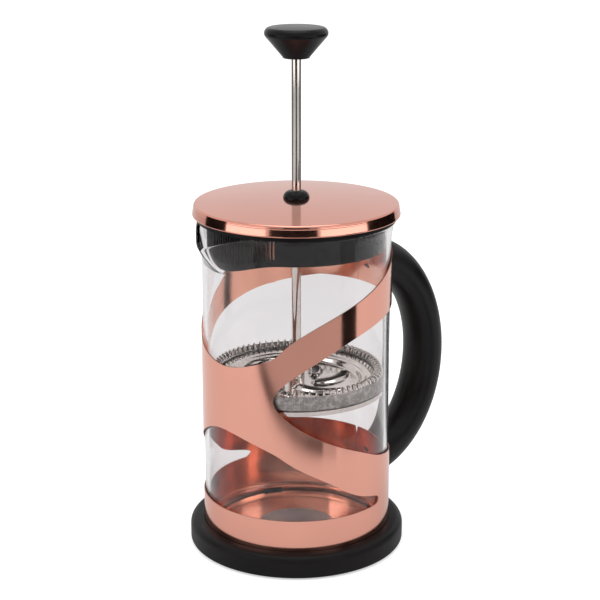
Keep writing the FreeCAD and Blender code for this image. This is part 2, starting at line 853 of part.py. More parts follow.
save("base", base())
save("foot_pad", foot_pad())
save("cushion", cushion())
save("seat_plate", seat_plate())
save("sleeve", sleeve())
save("handle", handle())
save("handle_screw_low", handle_screw(handle_low_z))
save("handle_screw_high", handle_screw(handle_high_z))
save("handle_insert_low", handle_insert(handle_low_z))
save("handle_insert_high", handle_insert(handle_high_z))
save("beaker", beaker())
save("lid_cover", lid_cover())
save("lid_liner", lid_liner())
save("rod_guide", rod_guide())
save("guide_washer", guide_washer())
save("guide_nut", guide_nut())
save("knob", knob())
save("knob_insert", knob_insert())
save("plunger_rod", plunger_rod())
save("hub_collar", hub_collar())
save("spiral_plate", spiral_plate())
save("edge_spring", edge_spring())
save("mesh_filter", mesh_filter())
save("cross_plate", cross_plate())
save("lock_washer", lock_washer())
save("hub_nut", hub_nut())
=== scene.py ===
"""French press: finishes and fine surfaces for the glass, sheet metal, mouldings and filter.

Every surface is worked out in millimetres about the press's upright axis and written in metres.
The places come from the boxes of the frame's nodes, and the sizes that a user would change are
in the property groups below.
"""
import math
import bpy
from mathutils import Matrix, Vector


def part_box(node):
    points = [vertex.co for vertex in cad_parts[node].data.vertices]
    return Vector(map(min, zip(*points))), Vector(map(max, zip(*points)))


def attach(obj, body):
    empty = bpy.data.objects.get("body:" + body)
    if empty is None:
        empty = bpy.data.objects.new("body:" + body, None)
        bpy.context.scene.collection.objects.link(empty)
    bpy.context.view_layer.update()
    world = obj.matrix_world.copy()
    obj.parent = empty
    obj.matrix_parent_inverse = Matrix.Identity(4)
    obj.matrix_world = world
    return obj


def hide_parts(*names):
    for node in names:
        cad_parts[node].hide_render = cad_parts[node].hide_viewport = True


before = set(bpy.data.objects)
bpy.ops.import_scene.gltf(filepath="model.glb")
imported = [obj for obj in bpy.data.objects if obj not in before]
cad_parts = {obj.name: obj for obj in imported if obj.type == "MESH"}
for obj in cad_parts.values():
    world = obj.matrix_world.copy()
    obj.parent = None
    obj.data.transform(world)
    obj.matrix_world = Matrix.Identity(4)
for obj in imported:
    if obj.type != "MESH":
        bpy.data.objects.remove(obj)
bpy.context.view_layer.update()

from types import SimpleNamespace

import bmesh
import bpy
import numpy as np

bl_info = {
    "name": "French press finishes",
    "version": (1, 0, 0),
    "blender": (4, 5, 0),
    "location": "3D View > Sidebar > Press",
    "description": "Builds the visible surfaces of a french press around its packed frame",
    "category": "Add Mesh",
}

MM = 0.001
WELD = 1e-6


def node_box(node):
    """The lowest and highest corners of a frame node, in millimetres."""
    low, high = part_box(node)
    return np.array(low) / MM, np.array(high) / MM


def round_box(node):
    """The radius, the foot and the top of a round frame node, in millimetres."""
    low, high = node_box(node)
    return max(high[:2]), low[2], high[2]


# ---------- properties

def number(label, default, about, **kind):
    """A property that holds one number."""
    return bpy.props.FloatProperty(name=label, description=about, default=default, **kind)


def length(label, default, about):
    """A length property, given in millimetres and kept in metres."""
    return number(label, default * MM, about, min=0.0, precision=5, subtype="DISTANCE")


def angle(label, default, about):
    """An angle property, given in degrees and kept in radians."""
    return number(label, math.radians(default), about, subtype="ANGLE")


def colour(label, default, about):
    """A colour property."""
    return bpy.props.FloatVectorProperty(name=label, description=about, default=default,
                                         subtype="COLOR", size=3, min=0.0, max=1.0)


class PressSizes(bpy.types.PropertyGroup):
    """Sizes of the fine shapes."""
    glass_wall: length("Glass wall", 2.2, "Thickness of the beaker's wall")
    glass_floor: length("Glass floor", 3.0, "Thickness of the beaker's floor")
    heel: length("Glass heel", 10.0, "Round between the beaker's wall and its floor")
    rim_flare: length("Rim flare", 1.2, "How much the beaker widens towards its rim")
    rim_straight: length("Rim height", 3.0, "Height of the straight stretch under the rim")
    spout_reach: length("Lip reach", 11.0, "How far the pouring lip stands out")
    spout_depth: length("Lip depth", 22.0, "Height over which the lip grows out of the wall")
    spout_drop: length("Lip drop", 8.0, "How far the rim drops at the tip of the lip")
    spout_fall: angle("Lip spread", 12.0, "Angle over which the lip fades into the wall")
    spout_nose: angle("Lip nose", 5.0, "Roundness of the lip's tip")
    sheet: length("Sheet", 0.6, "Thickness of the sleeve's and the lid's sheet metal")
    seam_angle: angle("Seam", 9.5, "Where the two ends of the rolled sheet meet")
    lid_crown: length("Lid crown", 2.2, "How far the lid's middle stands over its edge")
    coil_wire: length("Coil wire", 0.42, "Radius of the edge spring's wire")
    coil_loops: bpy.props.IntProperty(name="Coil loops", description="Loops of the edge spring",
                                      default=76, min=20)


class PressColours(bpy.types.PropertyGroup):
    """Colours of the finishes."""
    copper: colour("Copper", (0.80, 0.385, 0.30), "Polished sheet metal")
    lid: colour("Lid", (0.78, 0.345, 0.265), "Polished sheet metal of the lid")
    # Painted light: the inside colour is a brighter, more saturated copper than the outside,
    # standing in for the light bounced between the sheet and the glass.
    inside: colour("Inside", (0.94, 0.455, 0.31), "Sheet metal on the side that faces the glass")
    plate: colour("Plate", (0.80, 0.64, 0.58), "Polished plate under the glass")
    black: colour("Black", (0.0055, 0.0045, 0.0048), "Moulded plastic")
    liner: colour("Liner", (0.0055, 0.0045, 0.005), "Moulded plastic of the lid's liner")
    steel: colour("Steel", (0.63, 0.58, 0.545), "Polished steel")
    mesh: colour("Mesh", (0.30, 0.28, 0.27), "Woven steel cloth")
    glass: colour("Glass", (0.955, 0.938, 0.945), "Tint of the glass")
    rubber: colour("Rubber", (0.012, 0.012, 0.012), "Soft black parts")
    silicone: colour("Silicone", (0.93, 0.90, 0.88), "Pad under the beaker")
    brass: colour("Brass", (0.70, 0.50, 0.22), "Threaded inserts")


class PressStage(bpy.types.PropertyGroup):
    """The camera and the studio."""
    camera_away: length("Distance", 837.0, "Level distance from the press to the camera")
    camera_high: length("Height", 382.9, "Height of the camera over the floor")
    camera_turn: angle("Azimuth", -36.0, "Side of the press that faces the camera, from -Y")
    camera_yaw: angle("Yaw", 0.132, "How far the camera looks to the right of the axis")
    camera_tilt: angle("Tilt", 16.43, "How far the camera looks down")
    camera_lens: number("Lens", 97.9, "Focal length on the sensor", min=1.0, unit="CAMERA")
    world_light: number("World", 0.82, "Level of the light all round", min=0.0, max=1.0,
                        subtype="FACTOR")


GROUPS = {"press_sizes": PressSizes, "press_colours": PressColours, "press_stage": PressStage}


def fields(group):
    """The names of a group's own properties."""
    return [name for name in group.bl_rna.properties.keys() if name not in ("rna_type", "name")]


def settings(key):
    """A scene group's values, with the lengths in millimetres and the angles in degrees."""
    group, values = getattr(bpy.context.scene, key), SimpleNamespace()
    scale = {"LENGTH": 1 / MM, "ROTATION": math.degrees(1)}
    for name in fields(group):
        value, unit = getattr(group, name), group.bl_rna.properties[name].unit
        setattr(values, name, value * scale[unit] if unit in scale else value)
    return values


def sizes():
    """The sizes that are set in the scene."""
    return settings("press_sizes")


def colours():
    """The colours that are set in the scene."""
    return settings("press_colours")


# ---------- surfaces

def rounded(corners, steps=6):
    """A closed outline from (radius, height, rounding) corners.

    Each corner is replaced by an arc that touches both its sides: the arc's centre lies on the
    corner's bisector, and its points are a weighted turn between the two radii that end it.
    """
    places = np.array([corner[:2] for corner in corners], float)
    stretches = []
    for k, corner in enumerate(corners):
        here = places[k]
        if corner[2] == 0:
            stretches.append(here[None])
            continue
        back = places[k - 1] - here
        ahead = places[(k + 1) % len(places)] - here
        back /= np.linalg.norm(back)
        ahead /= np.linalg.norm(ahead)
        half = math.acos(np.clip(back @ ahead, -1, 1)) / 2
        centre = here + (back + ahead) / np.linalg.norm(back + ahead) * corner[2] / math.sin(half)
        reach = corner[2] / math.tan(half)
        start = here + back * reach - centre
        end = here + ahead * reach - centre
        sweep = math.pi - 2 * half
        t = np.linspace(0, sweep, steps + 1)[:, None]
        stretches.append(centre + (np.sin(sweep - t) * start + np.sin(t) * end) / math.sin(sweep))
    return np.concatenate(stretches)


def arc(centre, radius, start, end, steps):
    """Points of a round arc in the (radius, height) plane, between two angles in degrees."""
    a = np.radians(np.linspace(start, end, steps + 1))
    return np.stack([centre[0] + radius * np.cos(a), centre[1] + radius * np.sin(a)], axis=1)


def upright(radius, levels):
    """A straight stretch of a profile: one radius over a row of heights."""
    return np.stack([np.full(len(levels), radius), levels], axis=1)


def around(radius, height, turn):
    """Points (radius cos turn, radius sin turn, height), from arrays that broadcast."""
    radius, height, turn = np.broadcast_arrays(radius, height, turn)
    return np.stack([radius * np.cos(turn), radius * np.sin(turn), height], axis=-1)


def lathe(profile, columns=192):
    """A profile turned about the axis: its radius and height at each of a full turn's columns."""
    turn = np.linspace(0, 2 * np.pi, columns, endpoint=False)[:, None]
    return around(profile[None, :, 0], profile[None, :, 1], turn)


def quads(columns, rows, close_columns=True, close_rows=True):
    """Four-sided faces between neighbouring columns and rows of a grid."""
    i = np.arange(columns if close_columns else columns - 1)[:, None]
    j = np.arange(rows if close_rows else rows - 1)[None, :]
    across, up = (i + 1) % columns, (j + 1) % rows
    ring = np.stack(np.broadcast_arrays(i * rows + j, across * rows + j,
                                        across * rows + up, i * rows + up), axis=-1)
    return ring.reshape(-1, 4)


def tube(path, radius, across, sides=8):
    """A round tube along a closed path.

    At each point the ring lies in the plane of two directions square to the path: the first is
    the given one made square to the path's direction, and the second is their cross product.
    """
    along = np.roll(path, -1, axis=0) - np.roll(path, 1, axis=0)
    along /= np.linalg.norm(along, axis=1)[:, None]
    across = across - np.sum(across * along, axis=1)[:, None] * along
    across /= np.linalg.norm(across, axis=1)[:, None]
    up = np.cross(along, across)
    a = np.linspace(0, 2 * np.pi, sides, endpoint=False)[None, :, None]
    return path[:, None] + radius * (np.cos(a) * across[:, None] + np.sin(a) * up[:, None])


def smooth_curve(points, samples=600):
    """A natural cubic spline through (angle, height) points, spaced by their distances.

    The second derivatives solve the usual three-term equations, and each stretch is the cubic
    that has them at its ends.
    """
    p = np.array(points, float)
    h = np.hypot(np.radians(np.diff(p[:, 0])), np.diff(p[:, 1]))
    t = np.concatenate([[0], np.cumsum(h)])
    count = len(t)
    system = np.eye(count)
    middle = np.arange(1, count - 1)
    system[middle, middle - 1] = h[:-1]
    system[middle, middle] = 2 * (h[:-1] + h[1:])
    system[middle, middle + 1] = h[1:]
    right = np.zeros((count, 2))
    right[1:-1] = 6 * np.diff(np.diff(p, axis=0) / h[:, None], axis=0)
    bend = np.linalg.solve(system, right)
    s = np.linspace(0, t[-1], samples)
    k = np.clip(np.searchsorted(t, s, side="right") - 1, 0, count - 2)
    a, b, w = (s - t[k])[:, None], (t[k + 1] - s)[:, None], h[k][:, None]
    curve = (bend[k] * b ** 3 + bend[k + 1] * a ** 3) / (6 * w)
    return curve + (p[k] / w - bend[k] * w / 6) * b + (p[k + 1] / w - bend[k + 1] * w / 6) * a


def joined(*grids):
    """The points and faces of several grids, each told whether its columns and rows close."""
    points, faces, used = [], [], 0
    for grid, close_columns, close_rows in grids:
        points.append(grid.reshape(-1, 3))
        faces.append(quads(*grid.shape[:2], close_columns, close_rows) + used)
        used += len(points[-1])
    return np.concatenate(points), np.concatenate(faces)


def make_mesh(name, points, faces, sharp=35.0, closed=True):
    """A smooth-shaded mesh from points in millimetres, with its doubles merged.

    A closed one has its open ends filled and its faces turned outwards. An open sheet's edge is
    marked sharp, so that the wall that it gets has a crisp rim.
    """
    mesh = bpy.data.meshes.new(name)
    mesh.from_pydata((points.reshape(-1, 3) * MM).tolist(), [], faces.tolist())
    work = bmesh.new()
    work.from_mesh(mesh)
    bmesh.ops.remove_doubles(work, verts=work.verts, dist=WELD)
    if closed:
        bmesh.ops.holes_fill(work, edges=[e for e in work.edges if e.is_boundary], sides=0)
        bmesh.ops.recalc_face_normals(work, faces=work.faces)
    work.to_mesh(mesh)
    work.free()
    mesh.shade_smooth()
    mesh.set_sharp_from_angle(angle=math.radians(sharp))
    if not closed:
        corners = np.empty(len(mesh.loops), np.int32)
        mesh.loops.foreach_get("edge_index", corners)
        rim = np.bincount(corners, minlength=len(mesh.edges)) == 1
        flags = np.empty(len(mesh.edges), bool)
        mesh.edges.foreach_get("use_edge_sharp", flags)
        mesh.edges.foreach_set("use_edge_sharp", flags | rim)
    return mesh


def add_object(name, data):
    """A new object in the scene, at the origin."""
    thing = bpy.data.objects.new(name, data)
    bpy.context.scene.collection.objects.link(thing)
    return thing


def add_piece(mesh, body, slot, finish, *nodes):
    """Puts a mesh in the scene as a piece that rides on a body and stands for frame nodes."""
    piece = add_object(mesh.name, mesh)
    mesh.materials.append(finishes()[finish])
    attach(piece, body)
    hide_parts(*nodes)
    return piece


def give_wall(piece, thickness):
    """Gives an open sheet its thickness, on the side away from its normals."""
    wall = piece.modifiers.new("sheet", "SOLIDIFY")
    wall.thickness = thickness * MM
    wall.offset = -1.0
    return wall


def add_lathe(name, profile, body, slot, finish, *nodes, columns=192, sharp=35.0):
    """A turned piece from its closed profile."""
    mesh = make_mesh(name, lathe(profile, columns), quads(columns, len(profile)), sharp)
    return add_piece(mesh, body, slot, finish, *nodes)


# ---------- finishes

class Finish:
    """One node material, or a world. Most methods add a node and give its outgoing socket."""

    def __init__(self, name, store="materials", shader="Principled BSDF"):
        self.material = getattr(bpy.data, store).new(name)
        self.material.use_nodes = True
        tree = self.material.node_tree
        self.nodes, self.links = tree.nodes, tree.links
        self.shader = self.nodes[shader]

    def fill(self, node, inputs):
        """Links or sets a node's inputs."""
        for key, value in inputs.items():
            if isinstance(value, bpy.types.NodeSocket):
                self.links.new(value, node.inputs[key])
            else:
                node.inputs[key].default_value = value
        return node

    def add(self, kind, inputs=None, **choices):
        """A node with its own choices made and its inputs filled."""
        node = self.nodes.new(kind)
        for key, value in choices.items():
            setattr(node, key, value)
        return self.fill(node, inputs or {})

    def place(self, stretch=(1, 1, 1)):
        """The object's own coordinates, stretched."""
        spot = self.add("ShaderNodeTexCoord").outputs["Object"]
        return self.add("ShaderNodeMapping", {"Vector": spot, "Scale": stretch}).outputs["Vector"]

    def noise(self, scale, detail=3.0, stretch=(1, 1, 1)):
        """An uneven pattern in the object's own coordinates."""
        return self.add("ShaderNodeTexNoise", {"Vector": self.place(stretch), "Scale": scale,
                                               "Detail": detail}).outputs["Fac"]

    def span(self, value, low=0.0, high=1.0, start=0.3, end=0.7):
        """A value mapped from one range to another."""
        return self.add("ShaderNodeMapRange", {"Value": value, "From Min": start, "From Max": end,
                                               "To Min": low, "To Max": high}).outputs["Result"]

    def mix(self, factor, first, second):
        """A colour between two colours."""
        return self.add("ShaderNodeMix", {0: factor, 6: first, 7: second},
                        data_type="RGBA").outputs[2]

    def bump(self, height, strength, distance):
        """A fine relief, its depth in millimetres."""
        return self.add("ShaderNodeBump", {"Height": height, "Strength": strength,
                                           "Distance": distance * MM}).outputs["Normal"]

    def math(self, operation, *values):
        """The outcome of one sum on numbers or sockets."""
        return self.add("ShaderNodeMath", dict(enumerate(values)), operation=operation).outputs[0]

    def surface(self, node):
        """Uses another node in place of the shader."""
        self.nodes.remove(self.shader)
        self.links.new(node.outputs[0], self.nodes["Material Output"].inputs["Surface"])
        return self.material

    def set(self, **values):
        """Fills the shader's inputs by their names, with spaces as underscores."""
        self.fill(self.shader, {key.replace("_", " "): values[key] for key in values})
        return self.material


def tint(base, factor=1.0):
    """A solid colour, made lighter or darker."""
    return (*(min(1.0, channel * factor) for channel in base[:3]), 1.0)


def polished_copper(name, base, rough, streaks=(1, 1, 1), inside=None):
    """Polished sheet metal: faint colour drift, wiped streaks in the gloss and a fine grain.

    Where an inside roughness is given, it and the inside's patchy colour hold within the middle
    radius of the sleeve's sheet. The inside colour is painted light: a brighter, more saturated
    copper that stands in for the light bounced between the sheet and the glass, and its darker
    and lighter patches are painted reflections and shade.
    """
    f = Finish(name)
    drift = f.noise(22.0, 2.0)
    grain = f.noise(260.0, 4.0, stretch=streaks)
    wipe = f.noise(45.0, 5.0)
    gloss = f.span(wipe, rough * 0.85, rough * 1.2)
    shade = f.mix(f.span(drift), tint(base, 0.965), tint(base, 1.02))
    if inside is not None:
        middle = (round_box("sleeve")[0] - sizes().sheet / 2) * MM
        blend = 0.01 * MM
        level = f.add("ShaderNodeVectorMath", {0: f.place((1, 1, 0))}, operation="LENGTH")
        within = f.span(level.outputs["Value"], 1.0, 0.0, middle - blend, middle + blend)
        patchy = f.noise(60.0, 3.0, stretch=(1, 1, 0.25))
        rougher = f.span(patchy, inside * 0.7, inside * 1.3)
        gloss = f.math("MULTIPLY_ADD", within, f.math("SUBTRACT", rougher, gloss), gloss)
        # Painted light: the inside colour, darker and lighter in patches, paints the bounced light
        # and the blotchy reflections on the sheet's inner face.
        inner = colours().inside
        inner = f.mix(f.span(patchy), tint(inner, 0.78), tint(inner, 1.05))
        shade = f.mix(within, shade, inner)
    return f.set(Base_Color=shade, Metallic=1.0, Roughness=gloss,
                 Normal=f.bump(grain, 0.06, 0.02))


def satin_black(name, base, rough, grain_scale, grain_height, gloss=0.22):
    """Moulded plastic: a fine even grain, small changes of gloss and a trace of colour."""
    f = Finish(name)
    grain = f.noise(grain_scale, 3.0)
    patch = f.noise(60.0, 3.0)
    return f.set(
        Base_Color=f.mix(f.span(patch), tint(base, 0.85), tint(base, 1.25)),
        Roughness=f.span(patch, rough - 0.04, rough + 0.05),
        Specular_IOR_Level=gloss,
        Normal=f.bump(grain, 0.35, grain_height))


def bright_steel(name, base, rough, stretch=(1, 1, 1)):
    """Polished steel with fine turning marks."""
    f = Finish(name)
    marks = f.noise(900.0, 3.0, stretch=stretch)
    cloud = f.noise(70.0, 3.0)
    return f.set(
        Base_Color=f.mix(f.span(cloud), tint(base, 0.93), tint(base, 1.05)),
        Metallic=1.0,
        Roughness=f.span(cloud, rough * 0.8, rough * 1.25),
        Normal=f.bump(marks, 0.08, 0.02))


def clear_glass(name):
    """Clear glass with a trace of colour and a very faint waviness."""
    f = Finish(name)
    wave = f.noise(14.0, 1.0)
    return f.set(Base_Color=tint(colours().glass), Transmission_Weight=1.0, IOR=1.3,
                 Roughness=0.0, Normal=f.bump(wave, 0.02, 0.3))


def woven_steel(name):
    """Fine wire cloth: crossed sets of raised threads, dark gaps between them, bright flecks."""
    f = Finish(name)
    base = colours().mesh
    threads = []
    for direction in ("X", "Y", "Z"):
        wave = f.add("ShaderNodeTexWave", {"Vector": f.place(), "Scale": 420.0, "Distortion": 0.4,
                                           "Detail": 1.0}, bands_direction=direction)
        threads.append(wave.outputs["Fac"])
    weave = f.math("MAXIMUM", f.math("MULTIPLY", threads[0], threads[1]), threads[2])
    patch = f.noise(420.0, 3.0)
    shade = f.mix(f.span(weave, 0.0, 1.0, 0.0, 0.8), tint(base, 0.5), tint(base, 1.2))
    return f.set(
        Base_Color=f.mix(f.span(patch, 0.0, 0.8, 0.45, 0.75), shade, tint(base, 2.2)),
        Metallic=1.0,
        Roughness=0.42,
        Normal=f.bump(weave, 0.5, 0.12))


def finishes():
    """Every finish by its name, made once."""
    if "press_copper" in bpy.data.materials:
        return bpy.data.materials
    c = colours()
    polished_copper("press_copper", c.copper, 0.13, (1.0, 1.0, 0.06), 0.15)
    polished_copper("press_copper_lid", c.lid, 0.10)
    polished_copper("press_copper_edge", tint(c.copper, 0.5), 0.35)
    polished_copper("press_copper_plate", c.plate, 0.2)
    satin_black("press_base_black", c.black, 0.42, 700.0, 0.05, 0.15)
    satin_black("press_handle_black", c.black, 0.36, 900.0, 0.04)
    satin_black("press_knob_black", c.black, 0.24, 900.0, 0.02, 0.14)
    satin_black("press_liner_black", c.liner, 0.30, 900.0, 0.02, 0.12)
    satin_black("press_rubber", c.rubber, 0.7, 1200.0, 0.06)
    satin_black("press_silicone", c.silicone, 0.5, 900.0, 0.03, 0.5)
    bright_steel("press_rod_steel", c.steel, 0.09, (1.0, 1.0, 0.03))
    bright_steel("press_filter_steel", c.steel, 0.16)
    bright_steel("press_coil_steel", tint(c.steel, 1.2), 0.3)
    bright_steel("press_plate_steel", tint(c.steel, 1.15), 0.13)
    bright_steel("press_screw_steel", c.steel, 0.2)
    bright_steel("press_insert_brass", c.brass, 0.3)
    clear_glass("press_glass")
    woven_steel("press_woven_steel")
    return bpy.data.materials


# ---------- beaker

# How the rim falls towards the lip: a power, and two distances in millimetres.
RIM_FALL = 1.45
FALL_INSIDE = 5.0
FALL_PAST = 2.2


def lip_share(turn, s):
    """How far the lip has grown at an angle: exp of minus the rounded distance from its middle."""
    away = np.degrees(np.abs((turn % (2 * np.pi)) - np.pi))
    return np.exp(-(np.hypot(away, s.spout_nose) - s.spout_nose) / s.spout_fall)


def glass_surface():
    """The beaker's wall as one closed surface over (turn, way along its section).

    Over the lip's depth the radius grows by the flare times the cube of the rise and by the
    lip's reach times the sine of the rise, times the lip's share at that angle. The rim starts
    to fall FALL_INSIDE the wall, would be lowest FALL_PAST the lip's tip, and falls between
    with the power RIM_FALL of the way out. The wall under it is compressed to match.
    """
    s = sizes()
    widest, foot, rim = round_box("beaker")
    outer = widest - s.rim_flare
    inner, floor = outer - s.glass_wall, foot + s.glass_floor
    lip_foot, bead = rim - s.spout_depth, s.glass_wall / 2
    heel = (outer - s.heel, foot + s.heel)
    heel_in = arc(heel, s.heel - s.glass_wall, 0, -80, 18)
    heel_in[:, 1] = np.maximum(heel_in[:, 1], floor)
    ring, flat = outer * 0.4, heel[0] - 4
    plain = np.linspace(heel[1], lip_foot, 16)[1:-1]
    drawn = np.linspace(lip_foot, rim - bead, 26)
    outside = np.concatenate([[[0, foot], [ring, foot], [flat, foot]],
                              arc(heel, s.heel, -90, 0, 20),
                              upright(outer, plain), upright(outer, drawn)])
    inside = np.concatenate([upright(inner, drawn[::-1]), upright(inner, plain[::-1]),
                             heel_in, [[ring, floor], [0, floor]]])
    profile, cut = np.concatenate([outside, inside]), len(outside)
    turn = np.radians(np.linspace(0, 360, 360, endpoint=False))[:, None]
    grown = lip_share(turn, s)
    tip = outer + s.rim_flare + s.spout_reach * grown
    way = -tip * np.cos(turn) - (outer - FALL_INSIDE)
    out = np.clip(way / (s.spout_reach + FALL_INSIDE + FALL_PAST), 0, 1)
    top = rim - s.spout_drop * out ** RIM_FALL * (np.cos(turn) < 0)
    r, z = profile[None, :, 0], profile[None, :, 1]
    squeeze = np.clip((z - lip_foot) / (rim - lip_foot), 0, 1)
    height = np.where(z > lip_foot, lip_foot + squeeze * (top - lip_foot), z)

    def drawn_out(radius, level):
        rise = np.clip((level - lip_foot) / (rim - s.rim_straight - lip_foot), 0, 1)
        return radius + s.rim_flare * rise ** 3 + s.spout_reach * np.sin(np.pi / 2 * rise) * grown

    radius = np.where(z > lip_foot, drawn_out(r, height), r)
    bend = np.linspace(0, np.pi, 9)[None, 1:-1]
    round_r = (radius[:, cut - 1:cut] + radius[:, cut:cut + 1]) / 2 + bead * np.cos(bend)
    round_z = height[:, cut - 1:cut] + bead * np.sin(bend)
    return around(np.hstack([radius[:, :cut], round_r, radius[:, cut:]]),
                  np.hstack([height[:, :cut], round_z, height[:, cut:]]), turn)


class PRESS_OT_beaker(bpy.types.Operator):
    """Builds the glass beaker with its pouring lip"""
    bl_idname = "press.beaker"
    bl_label = "Beaker"

    def execute(self, context):
        points = glass_surface()
        mesh = make_mesh("beaker_glass", points, quads(*points.shape[:2]), sharp=60.0)
        add_piece(mesh, "beaker", "beaker_glass", "press_glass", "beaker")
        return {"FINISHED"}


# ---------- sleeve

# Levels of the ring's top and of the bands' edges, and the notches at the seam, in millimetres.
RING_TOP = 30.0
BAND_LOW = 51.0
BAND_HIGH = 137.8
NOTCH_DEEP = 5.0
NOTCH_HALF = 1.1
SEAM_GAP = 0.3
# The cuts in the sheet: angles in degrees, and heights as shares of the way from the ring's top
# to the sheet's top. The ends are the angles where each cut leaves a level edge.
TOP_ENDS = (62, 332)
FRONT_END = 340
BACK_ENDS = (52, 38)
WINDOW_ENDS = (90, 290.5)
TOP_EDGE = [(82, 0.932), (104, 0.84), (126, 0.75), (147, 0.67), (166, 0.614), (186, 0.594),
            (206, 0.617), (226, 0.688), (250, 0.79), (278, 0.868), (308, 0.945)]
FRONT_NOTCH = [(306, 0.768), (280, 0.736), (256, 0.675), (233, 0.585), (220.5, 0.49),
               (233, 0.388), (256, 0.303), (282, 0.232), (310, 0.18)]
BACK_NOTCH = [(76, 0.17), (98, 0.225), (118, 0.315), (134, 0.412), (141.5, 0.51), (130, 0.61),
              (106, 0.688), (72, 0.752)]
WINDOW = [(88.5, 0.006), (86.5, 0.018), (89, 0.03), (98, 0.045), (120, 0.112), (142, 0.208),
          (164, 0.296), (186, 0.334), (208, 0.304), (230, 0.234), (258, 0.132), (284, 0.05),
          (292, 0.034), (293.6, 0.018), (292, 0.004)]


def split_at_tip(curve, tip):
    """A curve's two halves, each with its angles rising, cut at the index of its tip."""
    halves = []
    for half in (curve[:tip + 1], curve[tip:]):
        half = half if half[-1, 0] > half[0, 0] else half[::-1]
        half[:, 0] = np.maximum.accumulate(half[:, 0])
        halves.append(half)
    return halves


def sheet_bounds(turn, radius, top):
    """The heights that bound the sheet's strips at each angle, in degrees.

    Three strips lie over each other: the ring, the low band and the high band. Where two of them
    are one piece of sheet they share a line, and where a window lies between them they part.
    """
    def along(curve):
        return np.interp(turn, curve[:, 0], curve[:, 1])

    def cut(ends, first, points, last):
        inner = [(a, RING_TOP + share * (top - RING_TOP)) for a, share in points]
        return smooth_curve([(ends[0], first), *inner, (ends[1], last)])

    upper = cut(TOP_ENDS, top, TOP_EDGE, top)
    front = cut((FRONT_END, FRONT_END), BAND_HIGH, FRONT_NOTCH, BAND_LOW)
    back = cut(BACK_ENDS, BAND_LOW, BACK_NOTCH, BAND_HIGH)
    window = cut(WINDOW_ENDS, RING_TOP, WINDOW, RING_TOP)
    front_high, front_low = split_at_tip(front, np.argmin(front[:, 0]))
    back_low, back_high = split_at_tip(back, np.argmax(back[:, 0]))
    first, last = np.argmin(window[:, 0]), np.argmax(window[:, 0])
    window_top = split_at_tip(window[first:last + 1], last - first)[0]
    window_low = np.concatenate([window[:first + 1][::-1], window[last:][::-1]])
    window_low[:, 0] = np.maximum.accumulate(window_low[:, 0])
    tips = np.array([window[first], window[last]])
    outside = (turn < tips[0, 0]) | (turn > tips[1, 0])
    shared = along(tips)
    ring_top = np.where(outside, shared, along(window_low))
    low_foot = np.where(outside, shared, along(window_top))
    middle = np.array([back_low[-1], front_low[0]])
    low_top = along(np.concatenate([back_low, front_low]))
    high_foot = along(np.concatenate([back_high, front_high]))
    web = (turn >= middle[0, 0]) & (turn <= middle[1, 0])
    low_top = np.where(web, along(middle), low_top)
    high_foot = np.where(web, along(middle), high_foot)
    seam = np.abs((turn - sizes().seam_angle + 180) % 360 - 180)
    notch = NOTCH_DEEP * np.clip(1 - seam / np.degrees(NOTCH_HALF / radius), 0, 1)
    return ring_top, low_foot, low_top - notch, high_foot, along(upper), tips, middle


class PRESS_OT_sleeve(bpy.types.Operator):
    """Builds the rolled and cut-out sheet round the glass"""
    bl_idname = "press.sleeve"
    bl_label = "Sleeve"

    def execute(self, context):
        radius, foot, top = round_box("sleeve")
        gap, notch = np.degrees(np.array([SEAM_GAP / 2, NOTCH_HALF]) / radius)
        seam = sizes().seam_angle
        ends = (seam + gap, seam + 360 - gap)
        tips, middle = sheet_bounds(np.array([180.0]), radius, top)[5:]
        crowded, extra = 2.5, 11
        near = crowded * (np.arange(1, extra + 1) / extra) ** 2
        marks = np.concatenate([tips[:, 0], middle[:, 0]])
        dense = np.concatenate([marks[:, None] + near, marks[:, None] - near]).ravel()
        turn = np.unique(np.concatenate([
            np.linspace(ends[0], ends[1], 361), dense, marks, [ends[0] + notch, ends[1] - notch]]))
        ring_top, low_foot, low_top, high_foot, upper = sheet_bounds(turn, radius, top)[:5]
        strips = ((np.full_like(turn, foot), ring_top, 9), (low_foot, low_top, 22),
                  (high_foot, upper, 22))
        across = np.radians(turn)[:, None]
        grids = [(around(radius, below[:, None] + (above - below)[:, None]
                         * np.linspace(0, 1, rows), across), False, False)
                 for below, above, rows in strips]
        mesh = make_mesh("sleeve_sheet", *joined(*grids), sharp=60.0, closed=False)
        piece = add_piece(mesh, "frame", "sleeve_metal", "press_copper", "sleeve")
        wall = give_wall(piece, sizes().sheet)
        wall.use_quality_normals = True
        piece.data.materials.append(finishes()["press_copper_edge"])
        wall.material_offset_rim = 1
        return {"FINISHED"}


# ---------- base and handle

